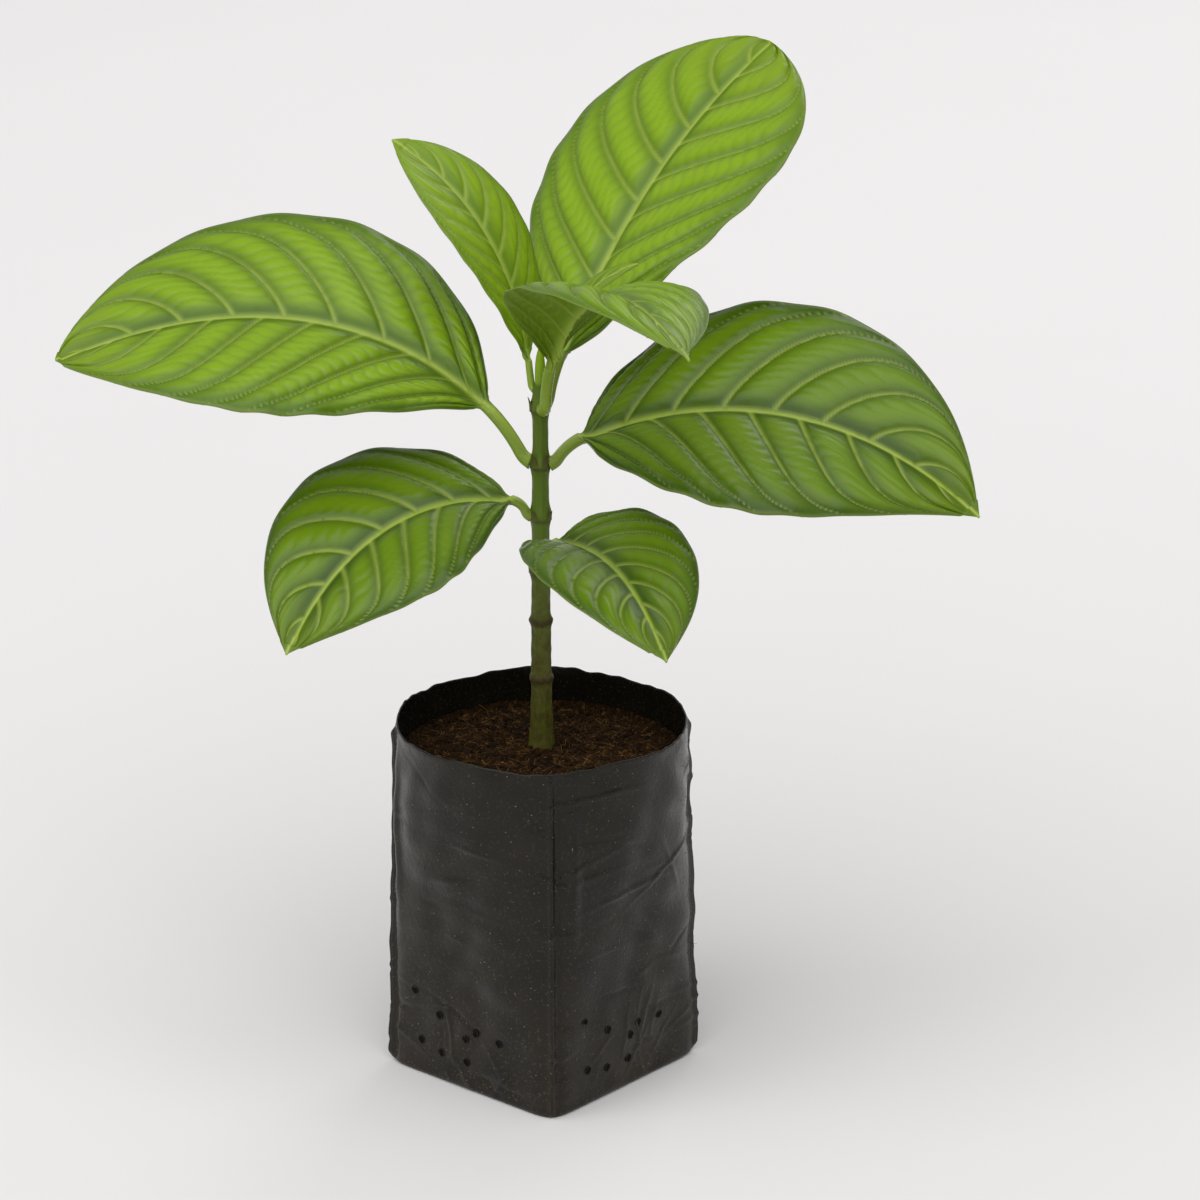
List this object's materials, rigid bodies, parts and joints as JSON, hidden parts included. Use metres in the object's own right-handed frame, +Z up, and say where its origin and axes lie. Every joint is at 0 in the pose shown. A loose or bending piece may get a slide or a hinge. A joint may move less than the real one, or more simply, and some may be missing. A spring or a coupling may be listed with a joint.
{
  "type": "young noni plant in a nursery grow bag",
  "caption": "Young potted noni plant: one slender upright stem with big glossy opposite leaves, in a black film nursery grow bag filled with potting mix.",
  "frame": {"origin": "middle of the grow bag's flat underside", "axes": "+Z up along the stem, -Y towards the side that the picture shows, +X to the right of that view"},
  "size_m": [0.3042, 0.2275, 0.3341],
  "materials": {
    "film": "thin black polythene film, semi-gloss, creased, with soil dust",
    "soil": "moist dark brown coir and peat crumbs",
    "stem": "green young bark, browner at the foot, with brown leaf scars",
    "leaf": "glossy mid green leaf with light veins",
    "young_leaf": "glossy yellow-green young leaf"
  },
  "bodies": {
    "root": {"grow_bag": "film", "soil": "soil", "stem": "stem", "terminal_bud": "young_leaf", "leaf_low_right": "leaf", "leaf_low_left": "leaf", "leaf_big_left": "leaf", "leaf_big_right": "leaf", "leaf_front": "leaf", "leaf_top": "leaf", "leaf_young_left": "young_leaf", "leaf_young_right": "young_leaf"}
  },
  "joints": []
}
